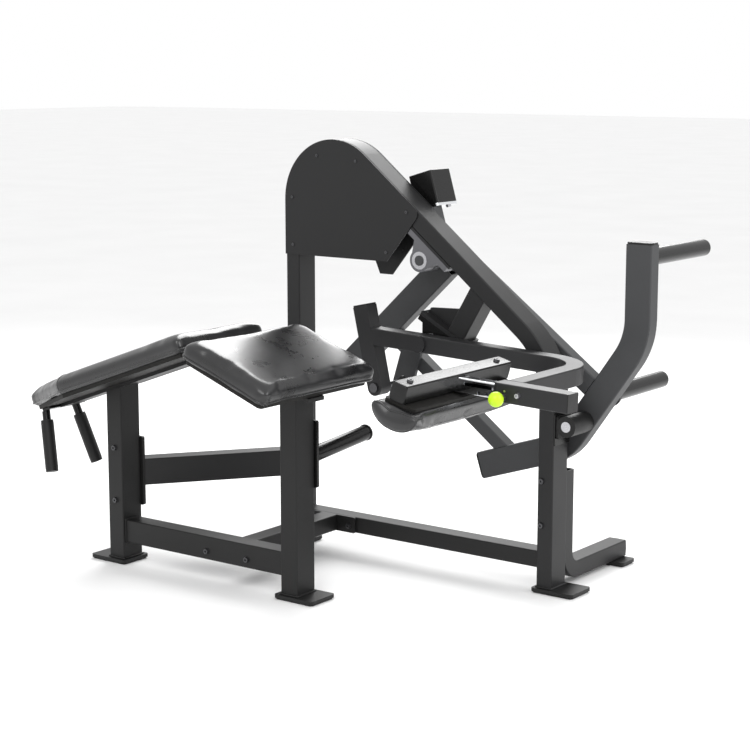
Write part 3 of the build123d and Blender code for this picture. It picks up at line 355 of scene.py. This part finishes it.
def cushion(node, name, tilt, body, flat_side):
    """Cushion swelled by cloth pressure in place of a CAD solid.

    flat_side is -1 where the mounting side is the pad's underside, and 1 where it is
    the top. The cushion stays flat there.
    """
    source = frame["nodes"][node]
    piece = bpy.data.objects.new(name, source.data.copy())
    scene.collection.objects.link(piece)
    turn = pad_frame(tilt)
    piece.data.transform(turn.inverted().to_4x4())
    join_corners(piece)
    low, high = extent(piece)
    middle = (low + high) / 2
    for vertex in piece.data.vertices:
        for i in range(3):
            scale = 1 - 2 * PAD_INSET / (high[i] - low[i])
            vertex.co[i] = middle[i] + (vertex.co[i] - middle[i]) * scale
        vertex.co.z += PAD_INSET * flat_side
    remesh = piece.modifiers.new("remesh", "REMESH")
    remesh.mode = "VOXEL"
    remesh.voxel_size = VOXEL
    even = piece.modifiers.new("even", "SMOOTH")
    even.iterations = EVEN_ROUNDS
    bake_modifiers(piece)
    inflate(piece)
    fill_space(piece, low, high, flat_side)
    relax = piece.modifiers.new("relax", "SMOOTH")
    relax.iterations = RELAX_ROUNDS
    smooth = piece.modifiers.new("smooth", "SUBSURF")
    smooth.levels = 1
    smooth.render_levels = 1
    bake_modifiers(piece)
    fill_space(piece, low, high, flat_side)
    piece.data.transform(turn.to_4x4())
    for polygon in piece.data.polygons:
        polygon.use_smooth = True
    piece.data.materials.clear()
    piece.data.materials.append(materials["vinyl"])
    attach(piece, body)
    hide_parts(node)
    return piece, low, high, turn


def join_corners(piece):
    """Merge the doubled points along a CAD mesh's edges, so it is one closed skin."""
    mesh = bmesh.new()
    mesh.from_mesh(piece.data)
    bmesh.ops.remove_doubles(mesh, verts=mesh.verts, dist=1e-5)
    mesh.to_mesh(piece.data)
    mesh.free()


def bake_modifiers(piece):
    """Apply every modifier of a piece to its mesh."""
    bpy.context.view_layer.update()
    graph = bpy.context.evaluated_depsgraph_get()
    baked = bpy.data.meshes.new_from_object(piece.evaluated_get(graph))
    piece.modifiers.clear()
    piece.data = baked


def inflate(piece):
    """Swell a closed mesh with pressure, and cap how far each point moves."""
    start = [v.co.copy() for v in piece.data.vertices]
    cloth = piece.modifiers.new("cloth", "CLOTH")
    cloth.settings.use_pressure = True
    cloth.settings.uniform_pressure_force = CLOTH_PRESSURE
    cloth.settings.effector_weights.gravity = 0.0
    cloth.settings.quality = CLOTH_QUALITY
    cloth.point_cache.frame_start = 1
    cloth.point_cache.frame_end = CLOTH_FRAMES
    for number in range(1, CLOTH_FRAMES + 1):
        scene.frame_set(number)
    bake_modifiers(piece)
    for vertex, origin in zip(piece.data.vertices, start):
        move = vertex.co - origin
        if move.length > PAD_CAP:
            vertex.co = origin + move * (PAD_CAP / move.length)
    scene.frame_set(1)


def fill_space(piece, low, high, flat_side):
    """Stretch a cushion back to its CAD solid's space, with its mounting side flat."""
    least, most = extent(piece)
    first, last = low.copy(), high.copy()
    if flat_side < 0:
        last.z += PAD_CROWN
        first.z -= PAD_SKIN
    else:
        last.z += PAD_SKIN
    for vertex in piece.data.vertices:
        for i in range(3):
            share = (vertex.co[i] - least[i]) / (most[i] - least[i])
            vertex.co[i] = first[i] + share * (last[i] - first[i])
        if flat_side < 0:
            vertex.co.z = max(vertex.co.z, low.z)
        else:
            vertex.co.z = min(vertex.co.z, high.z)


def section_loop(piece, turn, axis, value):
    """Ordered points where a piece's surface crosses a plane of the pad's own frame."""
    mesh = bmesh.new()
    mesh.from_mesh(piece.data)
    bmesh.ops.transform(mesh, matrix=turn.inverted().to_4x4(), verts=mesh.verts)
    plane = Vector([1.0 if i == axis else 0.0 for i in range(3)])
    whole = mesh.verts[:] + mesh.edges[:] + mesh.faces[:]
    cut = bmesh.ops.bisect_plane(mesh, geom=whole, plane_co=plane * value, plane_no=plane)
    points = [g.co.copy() for g in cut["geom_cut"] if isinstance(g, bmesh.types.BMVert)]
    mesh.free()
    centre = sum(points, Vector()) / len(points)
    first, second = [i for i in range(3) if i != axis]
    points.sort(key=lambda p: math.atan2(p[second] - centre[second], p[first] - centre[first]))
    kept = [points[0]]
    for point in points[1:]:
        if (point - kept[-1]).length > LOOP_GAP:
            kept.append(point)
    return [turn @ p for p in kept]


def upholstery():
    """The three cushions with their welted seams."""
    jobs = (                # node, name, tilt, body, fill, flat side
        ("torso_pad", "torso_cushion", -TORSO_TILT, "frame", 0.75, -1),
        ("thigh_pad", "thigh_cushion", THIGH_TILT, "frame", 0.75, -1),
        ("roller_pad", "roller_cushion", CARRIAGE_TILT, "pad_carriage", 0.8, 1),
    )
    made = {}
    for node, name, tilt, body, fill, flat in jobs:
        made[node] = cushion(node, name, tilt, body, flat)
    for node in ("torso_pad", "thigh_pad"):
        piece, low, _, turn = made[node]
        loop = section_loop(piece, turn, 2, low.z + SEAM_RISE)
        loop_tube(f"{node}_welt", loop, SEAM_R, "frame", "vinyl", SEAM_SIDES)
    piece, low, high, turn = made["torso_pad"]
    fold_line = section_loop(piece, turn, 0, low.x + (high.x - low.x) * TORSO_FOLD)
    loop_tube("torso_fold_seam", fold_line, FOLD_R, "frame", "vinyl")
    piece, low, high, turn = made["roller_pad"]
    ends = (("near", low.y + ROLLER_SEAM_INSET), ("far", high.y - ROLLER_SEAM_INSET))
    for end, value in ends:
        loop = section_loop(piece, turn, 1, value)
        loop_tube(f"roller_welt_{end}", loop, ROLLER_SEAM_R, "pad_carriage", "vinyl")


# ------------------------------------------------------------------ welds
def weld_loop(name, centre, directions, halves, slot, seed):
    """Uneven weld bead round the end of a rectangular tube of the frame."""
    along, across = (Vector(direction) for direction in directions)
    corners = ((-1, -1), (1, -1), (1, 1), (-1, 1))
    points = []
    for index, (a, b) in enumerate(corners):
        next_a, next_b = corners[(index + 1) % 4]
        for step in range(WELD_STEPS):
            t = step / WELD_STEPS
            spot_a = (a + (next_a - a) * t) * halves[0]
            spot_b = (b + (next_b - b) * t) * halves[1]
            point = Vector(centre) + along * spot_a + across * spot_b
            place = (step * WELD_WANDER[0] + seed, index * WELD_WANDER[1], seed)
            ripple = noise.noise(Vector(place))
            points.append(point + Vector((ripple, ripple, ripple)) * WELD_RIPPLE)
    loop_tube(name, points, WELD_R, "frame", slot)


def welds():
    """Beads where posts stand on floor plates and tubes meet flanges."""
    level, upright = ((1, 0, 0), (0, 1, 0)), ((0, 1, 0), (0, 0, 1))
    for node in ("head_post", "knee_post"):
        low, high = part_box(node)
        centre = ((low.x + high.x) / 2, (low.y + high.y) / 2, low.z + WELD_LIFT)
        weld_loop(f"{node}_weld", centre, level, POST_HALF, "post_paint", 1.0)
    low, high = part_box("main_hoop")
    ends = (("hoop_rear_weld", low.x + HOOP_HALF[0]), ("hoop_foot_weld", high.x - HOOP_HALF[0]))
    for name, x in ends:
        centre = (x, (low.y + high.y) / 2, low.z + WELD_LIFT)
        weld_loop(name, centre, level, HOOP_HALF, "hoop_paint", 2.0)
    low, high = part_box("bench_base_tube")
    halves = (BENCH_TUBE_HALF, (high.z - low.z) / 2)
    for name, x in (("bench_tube_weld_head", low.x), ("bench_tube_weld_knee", high.x)):
        centre = (x, (low.y + high.y) / 2, (low.z + high.z) / 2)
        weld_loop(name, centre, upright, halves, "post_paint", 3.0)


# ------------------------------------------------------------------ grips and small parts
def grip_ribs():
    """Raised ribs round both hand grips."""
    low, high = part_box("grip_sleeves")
    middle = (low.y + high.y) / 2
    for side, name in ((-1, "near"), (1, "far")):
        top = Vector((GRIP_TOP[0], middle + side * GRIP_TOP[1], GRIP_TOP[2]))
        end = Vector((GRIP_END[0], middle + side * GRIP_END[1], GRIP_END[2]))
        run = (end - top).normalized()
        across = run.orthogonal().normalized()
        length = (end - top).length - RIB_SHORTER
        mesh = bmesh.new()
        rings = []
        for row in range(RIB_RINGS + 1):
            centre = top + run * (RIB_START + length * row / RIB_RINGS)
            radius = RIB_R + RIB_RISE * (row % 2)
            if row in (0, RIB_RINGS):
                radius = RIB_EDGE_R
            rings.append(round_ring(mesh, centre, across, run.cross(across), radius, RIB_SIDES))
        skin_rings(mesh, rings)
        add_mesh(f"grip_ribs_{name}", mesh, "frame", "rubber")


def end_cap(name, centre, way, halves, body):
    """Domed plastic plug over a rectangular tube's open end, which faces -Y or +Y."""
    run = Vector((0, way, 0))
    side = Vector((0, 0, 1)).cross(run).normalized()
    up = run.cross(side)
    mesh = bmesh.new()
    rings = []
    for depth, inset in CAP_PROFILE:
        ring = []
        for step in range(CAP_STEPS):
            angle = 2 * math.pi * (step + 0.5) / CAP_STEPS
            reach_a, reach_b = math.cos(angle), math.sin(angle)
            square = max(abs(reach_a), abs(reach_b)) ** CAP_SQUARE
            offset = side * (reach_a / square * (halves[0] - inset))
            offset += up * (reach_b / square * (halves[1] - inset))
            ring.append(mesh.verts.new(Vector(centre) + run * depth + offset))
        rings.append(ring)
    skin_rings(mesh, rings)
    return add_mesh(name, mesh, body, "plastic")


def plugs():
    """Plugs in the rear leg's foot and in both ends of the roller bracket."""
    low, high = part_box("rear_leg")
    centre = ((low.x + high.x) / 2, high.y, low.z + LEG_HALF[1])
    end_cap("rear_leg_plug", centre, 1, LEG_HALF, "frame")
    low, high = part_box("roller_bracket")
    middle = (low + high) / 2
    turn = Matrix.Rotation(math.radians(CARRIAGE_TILT), 4, "Y")
    for name, y, way in (("near", low.y, -1), ("far", high.y, 1)):
        plug = end_cap(f"bracket_plug_{name}", (0, 0, 0), way, BRACKET_HALF, "pad_carriage")
        plug.data.transform(Matrix.Translation((middle.x, y, middle.z)) @ turn)


# ------------------------------------------------------------------ stage
def build_stage():
    """Pale floor and soft studio light."""
    mesh = bmesh.new()
    bmesh.ops.create_grid(mesh, x_segments=1, y_segments=1, size=FLOOR_SIZE)
    data = bpy.data.meshes.new("floor_stage")
    mesh.to_mesh(data)
    mesh.free()
    floor = bpy.data.objects.new("floor_stage", data)
    floor.location.z = -FLOOR_DROP
    scene.collection.objects.link(floor)
    material, nodes, links, shader = new_material("floor_pale")
    tone = noise_node(nodes, links, 1.5)
    tint(nodes, links, shader, tone.outputs["Fac"], (0.90, 0.90, 0.90), (0.93, 0.93, 0.93))
    shader.inputs["Roughness"].default_value = 0.8
    data.materials.append(material)
    world = bpy.data.worlds.new("studio")
    scene.world = world
    world.use_nodes = True
    sky = world.node_tree.nodes["Background"]
    sky.inputs["Color"].default_value = (1, 1, 1, 1)
    sky.inputs["Strength"].default_value = 1.0
    for name, place, size, power in LAMPS:
        light = bpy.data.lights.new(name, "AREA")
        light.size = size
        light.energy = power
        lamp = bpy.data.objects.new(name, light)
        lamp.location = place
        aim = Vector(LAMP_AIM) - Vector(place)
        lamp.rotation_euler = aim.to_track_quat("-Z", "Y").to_euler()
        scene.collection.objects.link(lamp)
    scene.view_settings.view_transform = "Standard"


dress_frame()
upholstery()
welds()
grip_ribs()
plugs()
build_stage()
